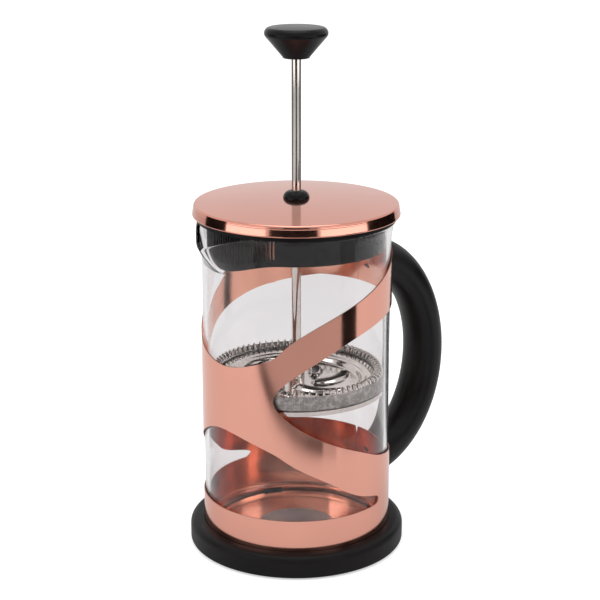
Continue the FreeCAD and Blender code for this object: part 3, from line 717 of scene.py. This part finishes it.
class PRESS_OT_base(bpy.types.Operator):
    """Builds the moulded base with its lugs, and the disc under the glass"""
    bl_idname = "press.base"
    bl_label = "Base"

    def execute(self, context):
        radius, _, top = round_box("base")
        pad_radius, _, pad_top = round_box("foot_pad")
        disc_radius, seat, disc_top = round_box("cushion")
        foot, foot_round, shoulder, mouth_round, play = 0.8, 1.5, 4.0, 0.35, 0.05
        recess = round_box("sleeve")[0] + play
        profile = rounded([
            (0, pad_top, 0), (pad_radius, pad_top, 0), (pad_radius, foot, 0),
            (radius, foot, foot_round), (radius, top, shoulder), (recess, top, mouth_round),
            (recess, seat, 0), (0, seat, 0)], steps=8)
        grids = [(lathe(profile, 256), True, True)]
        lugs, lug_from, lug_to = 3, 64, 76
        lug_in, lug_out, lug_top, lug_round = 48.6, 50.2, seat + 3.0, 0.4
        lug = rounded([(lug_in, seat, 0), (lug_out, seat, 0), (lug_out, lug_top, lug_round),
                       (lug_in, lug_top, lug_round)])
        for k in range(lugs):
            turn = np.radians(np.linspace(lug_from, lug_to, 15) + 360 / lugs * k)[:, None]
            body = around(lug[None, :, 0], lug[None, :, 1], turn)
            first, last = (end.mean(axis=1, keepdims=True).repeat(len(lug), 1)
                           for end in (body[:1], body[-1:]))
            grids.append((np.concatenate([first, body, last]), False, True))
        mesh = make_mesh("base_moulding", *joined(*grids))
        add_piece(mesh, "frame", "base_plastic", "press_base_black", "base")
        below_glass, foot_round, edge_round = 0.1, 0.2, 0.3
        disc_top -= below_glass
        disc = rounded([(0, seat, 0), (disc_radius, seat, foot_round),
                        (disc_radius, disc_top, edge_round), (0, disc_top, 0)])
        add_lathe("cushion_disc", disc, "frame", "cushion_rubber", "press_silicone", "cushion")
        return {"FINISHED"}


class PRESS_OT_handle(bpy.types.Operator):
    """Builds the curved grip"""
    bl_idname = "press.handle"
    bl_label = "Handle"

    def execute(self, context):
        """The centre line is half an ellipse, and the oval section changes along it."""
        low, high = node_box("handle")
        inset, play = 6.0, 0.06
        root = round_box("sleeve")[0] + play
        root_thick, root_wide, thick, wide = 23.0, 20.0, 20.0, 25.0
        rings, sides = 121, 48
        reach = high[0] - thick / 2 - root
        middle = (low[2] + high[2]) / 2
        rise = (high[2] - low[2] - root_thick) / 2
        turn = np.radians(np.linspace(-90, 90, rings))[:, None]
        rooted = np.abs(np.sin(turn)) ** 3
        x = root - inset + (inset + reach) * np.cos(turn)
        z = middle + rise * np.sin(turn)
        along = np.hstack([-(inset + reach) * np.sin(turn), rise * np.cos(turn)])
        along /= np.linalg.norm(along, axis=1)[:, None]
        a = np.linspace(0, 2 * np.pi, sides, endpoint=False)[None, :]
        out = (thick + (root_thick - thick) * rooted) / 2 * np.cos(a)
        side = (wide + (root_wide - wide) * rooted) / 2 * np.sin(a)
        points = np.stack([x + along[:, 1:] * out, np.broadcast_to(side, out.shape),
                           z - along[:, :1] * out], axis=-1)
        wall = np.sqrt(np.maximum(root ** 2 - points[..., 1] ** 2, 0))
        points[..., 0] = np.maximum(points[..., 0], wall)
        mesh = make_mesh("handle_grip", points, quads(rings, sides, False, True), sharp=40.0)
        add_piece(mesh, "frame", "handle_plastic", "press_handle_black", "handle")
        return {"FINISHED"}


# ---------- lid, guide and knob

class PRESS_OT_lid(bpy.types.Operator):
    """Builds the lid's cover and the guide on it"""
    bl_idname = "press.lid"
    bl_label = "Lid"

    def execute(self, context):
        self.cover()
        self.guide()
        return {"FINISHED"}

    def rise(self, radius):
        """The cover's height over its shoulder: a round crown that is level at the hole."""
        return (np.sqrt(self.bend ** 2 - np.maximum(radius, self.land) ** 2)
                - (self.bend - self.crown))

    def cover(self):
        """A crowned sheet with a round shoulder and a skirt that widens down to a hem."""
        outer, foot, peak = round_box("lid_cover")
        sheet, shoulder, hem, set_in = sizes().sheet, 1.2, 0.55, 0.75
        neck_tall, step_out, step_down = 0.5, 0.12, 0.8
        skirt = outer - set_in
        self.hole, self.land, self.crown = 4.48, 9.0, sizes().lid_crown
        reach = skirt - shoulder
        self.bend = (reach ** 2 + self.crown ** 2) / (2 * self.crown)
        self.top = top = peak - self.rise(self.hole)
        neck = top - shoulder
        step = np.array([skirt + step_out, neck - step_down])
        flare = step + np.outer([0, 0.08, 0.92], [outer, foot + hem] - step)
        across = np.linspace(self.hole, reach, 40)[:-1]
        crest = np.stack([across, top + self.rise(across)], axis=1)
        profile = np.concatenate([
            crest, arc((reach, neck), shoulder, 90, 0, 10), [[skirt, neck - neck_tall]], flare,
            arc((outer - hem, foot + hem), hem, 0, -180, 10), [[skirt - sheet, step[1]]],
            arc((reach, neck), shoulder - sheet, 0, 90, 6), crest[::-1] - [0, sheet]])
        add_lathe("lid_cover_sheet", profile, "lid", "sleeve_metal", "press_copper_lid",
                  "lid_cover", columns=256, sharp=25.0)

    def guide(self):
        """A dome over the hole, with a bevelled bore and a stem that goes down through it."""
        radius, foot, peak = round_box("rod_guide")
        bore, stem, bevel = 2.56, 4.4, 0.3
        seat = self.top + self.rise(self.hole)
        tall = peak - seat
        mouth = bore + bevel
        profile = np.concatenate([
            arc((radius - tall, seat), tall, 0, 90, 24), [[mouth, peak]],
            arc((mouth, peak - bevel), bevel, 90, 180, 4)[1:],
            [[bore, foot], [stem, foot], [stem, seat]]])
        add_lathe("rod_guide_dome", profile, "guide", "knob_plastic", "press_knob_black",
                  "rod_guide", columns=96)


class PRESS_OT_knob(bpy.types.Operator):
    """Builds the knob and the rod"""
    bl_idname = "press.knob"
    bl_label = "Knob and rod"

    def execute(self, context):
        radius, foot, peak = round_box("knob")
        crown, bend, tilt = 0.7, 3.0, 38.0
        bore, bore_deep, neck, neck_round = 4.0, 9.0, 7.2, 0.8
        top, reach = peak - crown, radius - bend
        crest = np.linspace(reach, 0, 14)[1:]
        dome = np.stack([crest, top + crown * (1 - (crest / reach) ** 2)], axis=1)
        profile = np.concatenate([
            [[bore, foot]], arc((neck - neck_round, foot + neck_round), neck_round, -90, 0, 5),
            arc((reach, top - bend), bend, -tilt, 90, 16), dome,
            [[0, foot + bore_deep], [bore, foot + bore_deep]]])
        add_lathe("knob_turned", profile, "plunger", "knob_plastic", "press_knob_black", "knob",
                  columns=128)
        _, foot, top = round_box("plunger_rod")
        rod, foot_round, top_round, plain = 2.5, 0.4, 0.2, 5.0
        outline = rounded([(0, foot, 0), (rod, foot, foot_round), (rod, top, top_round),
                           (0, top, 0)])
        half = len(outline) // 2
        shank = upright(rod, np.linspace(foot + plain, top - plain, 20))
        add_lathe("plunger_rod_steel", np.concatenate([outline[:half], shank, outline[half:]]),
                  "plunger", "rod_steel", "press_rod_steel", "plunger_rod", columns=64)
        return {"FINISHED"}


# ---------- filter

ROD_HOLE = 2.54


def raised_slot_plate(foot, flat, lip_in, lip_out, lip_top):
    """The dished plate with six long slots that have raised lips, as an open sheet.

    The height over the flat is a smooth step from the flat's edge to the lip, with a round bead
    inside it. Each slot is a spiral strip: its distance is how far a point lies from a line whose
    angle grows with the radius. Near that strip the plate rises in a small bell, and the grid's
    own lines follow it.
    """
    count, turns = 6, np.radians(48.0)
    inner, outer, half = 11.0, 30.0, 3.1
    lip_high, lip_wide, hub = 1.9, 1.5, ROD_HOLE + 2
    bead, bead_high, bead_wide = 35.6, 1.3, 1.1
    columns = 61
    radius = np.unique(np.concatenate([np.linspace(ROD_HOLE, flat, 70),
                                       np.linspace(flat, lip_out, 26)]))
    spread = (radius[None, :] - inner) / (outer - inner)
    along = np.clip(spread, 0, 1)
    wide = half * np.sqrt(np.clip(1 - (2 * along - 1) ** 6, 0, 1)) * (0.7 + 0.3 * along)
    open_slot = (spread > 0) & (spread < 1)
    gap = np.where(open_slot, wide, 0) / np.maximum(radius[None, :], 1)
    sector = 2 * np.pi / count
    ends = np.maximum(0, np.maximum(inner - radius, radius - outer))[None, :]
    slope = np.clip((radius - flat) / (lip_in - flat), 0, 1)
    dish = (lip_top - foot) * slope ** 2 * (3 - 2 * slope)
    dish += bead_high * np.exp(-((radius - bead) / bead_wide) ** 2)
    grids = []
    for k in range(count):
        middle = k * sector + turns * along
        turn = middle + gap + (sector - 2 * gap) * np.linspace(0, 1, columns)[:, None]
        side = np.minimum(turn - middle - gap, middle + sector - gap - turn) * radius[None, :]
        lip = lip_high * np.exp(-(np.hypot(side, ends) / lip_wide) ** 2)
        height = foot + dish[None, :] + lip * (radius[None, :] > hub)
        grids.append((around(radius[None, :], height, turn), False, False))
    return joined(*grids)


class PRESS_OT_filter(bpy.types.Operator):
    """Builds the filter: the plate, the coil round its edge and the cup of wire cloth"""
    bl_idname = "press.filter"
    bl_label = "Filter"

    def execute(self, context):
        self.plate()
        self.coil()
        self.cup()
        return {"FINISHED"}

    def plate(self):
        """The plate is one sheet with its wall given by Solidify."""
        foot, coil_foot = round_box("spiral_plate")[1], round_box("edge_spring")[1]
        thick, flat, lip_in, lip_out, lip_lift = 0.5, 33.0, 39.6, 42.4, 0.6
        lip_top = coil_foot + lip_lift
        plate = raised_slot_plate(foot + thick, flat, lip_in, lip_out, lip_top)
        mesh = make_mesh("slotted_plate", *plate, sharp=50.0, closed=False)
        piece = add_piece(mesh, "plunger", "filter_steel", "press_plate_steel", "spiral_plate")
        give_wall(piece, thick)

    def coil(self):
        """The coil is a circle of loops: a small circle carried round a large one."""
        outer, foot, top = round_box("edge_spring")
        wire, loops = sizes().coil_wire, sizes().coil_loops
        swell, lift, steps = 0.25, 1.6, 22
        minor = (top - foot) / 2 - wire + swell
        major = outer - minor - wire
        middle = (foot + top) / 2 + lift
        turn = np.linspace(0, 2 * np.pi, loops * steps, endpoint=False)
        swing = loops * turn
        path = around(major + minor * np.cos(swing), middle + minor * np.sin(swing), turn)
        points = tube(path, wire, around(np.cos(swing), np.sin(swing), turn))
        mesh = make_mesh("edge_coil", points, quads(*points.shape[:2]), sharp=80.0)
        add_piece(mesh, "plunger", "filter_steel", "press_coil_steel", "edge_spring")

    def cup(self):
        """The cup is a flat floor with a round foot and a wall whose edge is bevelled."""
        radius, foot, top = round_box("mesh_filter")
        sheet, bend, bevel, bevel_tall = 0.35, 1.6, 0.1, 0.15
        heel, inner = (radius - bend, foot + bend), radius - sheet
        cup = np.concatenate([
            [[ROD_HOLE, foot]], arc(heel, bend, -90, 0, 10),
            [[radius, top - bevel_tall], [radius - bevel, top],
             [inner + bevel, top], [inner, top - bevel_tall]],
            arc(heel, bend - sheet, 0, -90, 10), [[ROD_HOLE, foot + sheet]]])
        add_lathe("wire_cloth_cup", cup, "plunger", "mesh_steel", "press_woven_steel",
                  "mesh_filter", sharp=50.0)


class PRESS_OT_frame_nodes(bpy.types.Operator):
    """Gives every frame node that still shows its own finish"""
    bl_idname = "press.frame_nodes"
    bl_label = "Other parts"

    def execute(self, context):
        for finish, *nodes in (
                ("press_rubber", "foot_pad"),
                ("press_copper_plate", "seat_plate"),
                ("press_screw_steel", "handle_screw_low", "handle_screw_high"),
                ("press_insert_brass", "handle_insert_low", "handle_insert_high", "knob_insert"),
                ("press_liner_black", "lid_liner", "guide_washer", "guide_nut"),
                ("press_filter_steel", "hub_collar", "cross_plate", "lock_washer", "hub_nut")):
            for node in nodes:
                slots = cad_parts[node].data.materials
                slots.clear()
                slots.append(finishes()[finish])
        return {"FINISHED"}


# ---------- stage

GLOSS_ONLY = ("camera", "diffuse", "transmission", "shadow")


def add_stage_face(name, corners, material, hidden=()):
    """A flat stage piece from its corners, in millimetres, hidden from some kinds of rays."""
    mesh = bpy.data.meshes.new(name)
    mesh.from_pydata((np.array(corners, float) * MM).tolist(), [], [range(len(corners))])
    plane = add_object(name, mesh)
    mesh.materials.append(material)
    for kind in hidden:
        setattr(plane, "visible_" + kind, False)


def add_lamp(name, place, aim, wide, tall, power):
    """A soft rectangular lamp at a place, turned towards a point, in millimetres."""
    light = bpy.data.lights.new(name, "AREA")
    light.shape = "RECTANGLE"
    light.size, light.size_y = wide * MM, tall * MM
    light.energy = power
    lamp = add_object(name, light)
    lamp.location = np.array(place) * MM
    from_aim = np.array(place, float) - np.array(aim, float)
    level = math.hypot(*from_aim[:2])
    lamp.rotation_euler = (math.atan2(level, from_aim[2]), 0,
                           math.atan2(from_aim[0], -from_aim[1]))
    return lamp


def floor_material(seen, level):
    """A plain pale finish that also glows a little for the camera."""
    f = Finish("stage_floor_white")
    diffuse = f.add("ShaderNodeBsdfDiffuse", {"Color": tint([level] * 3)})
    seen_by_camera = f.add("ShaderNodeLightPath").outputs["Is Camera Ray"]
    glow = f.add("ShaderNodeEmission", {"Strength": f.math("MULTIPLY", seen_by_camera, seen)})
    return f.surface(f.add("ShaderNodeAddShader", {0: diffuse.outputs[0], 1: glow.outputs[0]}))


def card_material(name, level):
    """Matt card of a neutral tone."""
    return Finish(name).set(Base_Color=tint([level] * 3), Roughness=1.0, Specular_IOR_Level=0.0)


def glowing_material(name, level):
    """An even light surface."""
    f = Finish(name)
    return f.surface(f.add("ShaderNodeEmission", {"Strength": level}))


def add_card(name, bearing, away, wide, low, high, material):
    """An upright card, seen only in gloss, at a bearing from the camera's side of the press."""
    side = math.radians(bearing + settings("press_stage").camera_turn - 90)
    out = np.array([math.cos(side), math.sin(side), 0])
    half = np.array([-out[1], out[0], 0]) * wide / 2
    foot, head = out * away + [0, 0, low], out * away + [0, 0, high]
    add_stage_face(name, [foot - half, foot + half, head + half, head - half], material,
                   GLOSS_ONLY)


class PRESS_OT_stage(bpy.types.Operator):
    """Builds the floor, the world, the lamps, the cards and the camera"""
    bl_idname = "press.stage"
    bl_label = "Stage"

    def execute(self, context):
        scene = context.scene
        scene.view_settings.view_transform = "Standard"
        scene.cycles.max_bounces = 32
        scene.cycles.transmission_bounces = 24
        scene.cycles.glossy_bounces = 12
        s = settings("press_stage")
        turn = math.radians(s.camera_turn)
        ahead = np.array([-math.sin(turn), math.cos(turn), 0])
        right = np.array([ahead[1], -ahead[0], 0])
        self.world(scene, s.world_light)
        self.floor()
        self.lamps(ahead, right)
        self.upright_cards()
        self.floor_cards(ahead, right)
        self.camera(scene, s, ahead, turn)
        return {"FINISHED"}

    def floor(self):
        """A wide pale floor that clips to white for the camera and keeps its shadow."""
        half, glow, tone = 4000, 0.5, 0.76
        corners = [(half * i, half * j, 0) for i, j in ((-1, -1), (1, -1), (1, 1), (-1, 1))]
        add_stage_face("stage_floor", corners, floor_material(glow, tone))

    def lamps(self, ahead, right):
        """Two lamps in front that only shade, and one overhead that also shows in gloss."""
        aim = (0, 0, 110)
        for name, sideways, back, high, power in (("lamp_left", -900, 500, 700, 3.2),
                                                  ("lamp_right", 900, 400, 700, 2.4)):
            lamp = add_lamp(name, right * sideways - ahead * back + [0, 0, high], aim,
                            600, 800, power)
            lamp.visible_glossy = False
        add_lamp("lamp_top", (0, 0, 1300), aim, 900, 900, 4.0)

    def upright_cards(self):
        """Black cards and softboxes: bearing, distance, width, lowest and highest level."""
        card = card_material("stage_black_card", 0.01)
        glow = glowing_material("stage_softbox", 1.9)
        for name, material, *place in (
                ("stage_card_front_low", card, 0, 560, 270, 45, 163),
                ("stage_card_front_high", card, -3, 561, 520, 163, 280),
                ("stage_card_left", card, -95, 560, 340, 45, 280),
                ("stage_card_right", card, 106, 560, 560, 45, 280),
                ("stage_card_strip", card, 58.5, 227, 77, 2, 165),
                ("stage_softbox_left", glow, -55, 570, 490, 165, 262),
                ("stage_softbox_right", glow, 52, 570, 580, 165, 262)):
            add_card(name, *place, material)

    def floor_cards(self, ahead, right):
        """A grey card on the floor in front and a dark strip along its near edge.

        The outlines are distances to the right of the axis and towards the camera's side.
        """
        near = ((-290, 280), (-45, 245), (40, 215), (100, 185))
        grey = near + ((140, 150), (730, 530), (600, 900), (-600, 900), (-650, 620))
        spread = 1.18
        dark = near + tuple((spread * x, spread * y) for x, y in near[::-1])
        for name, outline, high, level in (("stage_card_floor", grey, 1, 0.47),
                                           ("stage_card_edge", dark, 2, 0.05)):
            corners = [right * x - ahead * y + [0, 0, high] for x, y in outline]
            add_stage_face(name, corners, card_material(name, level), GLOSS_ONLY)

    def camera(self, scene, s, ahead, turn):
        """The camera, with its lens and its tilt and yaw."""
        data = bpy.data.cameras.new("camera")
        data.sensor_width = 36.0
        data.lens = s.camera_lens
        camera = add_object("camera", data)
        camera.location = (-ahead * s.camera_away + [0, 0, s.camera_high]) * MM
        camera.rotation_euler = (math.radians(90 - s.camera_tilt), 0,
                                 turn - math.radians(s.camera_yaw))
        scene.camera = camera

    def world(self, scene, level):
        """A plain white world for the camera, and a pale one at its own level for all else."""
        f = Finish("studio", "worlds", "Background")
        seen_by_camera = f.add("ShaderNodeLightPath").outputs["Is Camera Ray"]
        scene.world = f.set(Color=(1, 1, 1, 1),
                            Strength=f.span(seen_by_camera, level, 1.0, 0.0, 1.0))


# ---------- panel and run

OPERATORS = (PRESS_OT_stage, PRESS_OT_beaker, PRESS_OT_sleeve, PRESS_OT_base, PRESS_OT_handle,
             PRESS_OT_lid, PRESS_OT_knob, PRESS_OT_filter, PRESS_OT_frame_nodes)


class PRESS_PT_panel(bpy.types.Panel):
    """The press's sizes, colours and builders"""
    bl_idname = "PRESS_PT_panel"
    bl_label = "French press"
    bl_space_type = "VIEW_3D"
    bl_region_type = "UI"
    bl_category = "Press"

    def draw(self, context):
        for key in GROUPS:
            group, box = getattr(context.scene, key), self.layout.box()
            for name in fields(group):
                box.prop(group, name)
        for operator in OPERATORS:
            self.layout.operator(operator.bl_idname)


CLASSES = (*GROUPS.values(), *OPERATORS, PRESS_PT_panel)


def register():
    """Adds the classes and the property groups."""
    for cls in CLASSES:
        bpy.utils.register_class(cls)
    for key, group in GROUPS.items():
        setattr(bpy.types.Scene, key, bpy.props.PointerProperty(type=group))


def unregister():
    """Takes the property groups and the classes away again."""
    for key in GROUPS:
        delattr(bpy.types.Scene, key)
    for cls in reversed(CLASSES):
        bpy.utils.unregister_class(cls)


def main():
    """Registers the add-on and builds everything in order."""
    register()
    for operator in OPERATORS:
        group, name = operator.bl_idname.split(".")
        getattr(getattr(bpy.ops, group), name)()


if __name__ == "__main__":
    main()
